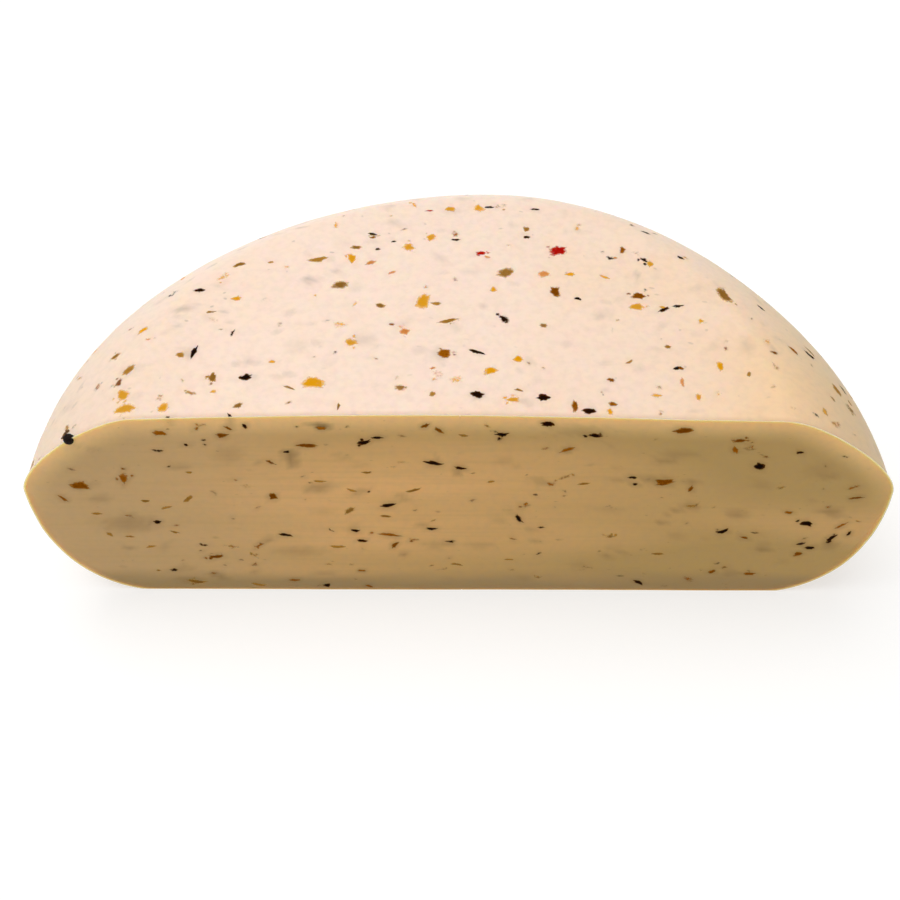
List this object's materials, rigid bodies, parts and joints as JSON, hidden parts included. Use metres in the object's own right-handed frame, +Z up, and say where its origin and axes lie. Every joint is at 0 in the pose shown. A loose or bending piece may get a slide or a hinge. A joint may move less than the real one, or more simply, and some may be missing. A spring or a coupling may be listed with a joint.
{
  "type": "half wheel of pepper cheese",
  "caption": "Half wheel of pressed cheese with a rounded rim and a flat vertical cut, with pepper and herb flakes standing slightly proud all over.",
  "frame": {"origin": "bottom centre of the half wheel's box, on the surface that it stands on", "axes": "+X along the cut, to the right as the cut is seen; +Y from the cut towards the back of the rim; +Z up"},
  "size_m": [0.261, 0.1296, 0.0813],
  "materials": {
    "cheese": "satin, slightly waxy"
  },
  "bodies": {
    "root": {"half_wheel": "cheese"}
  },
  "joints": []
}
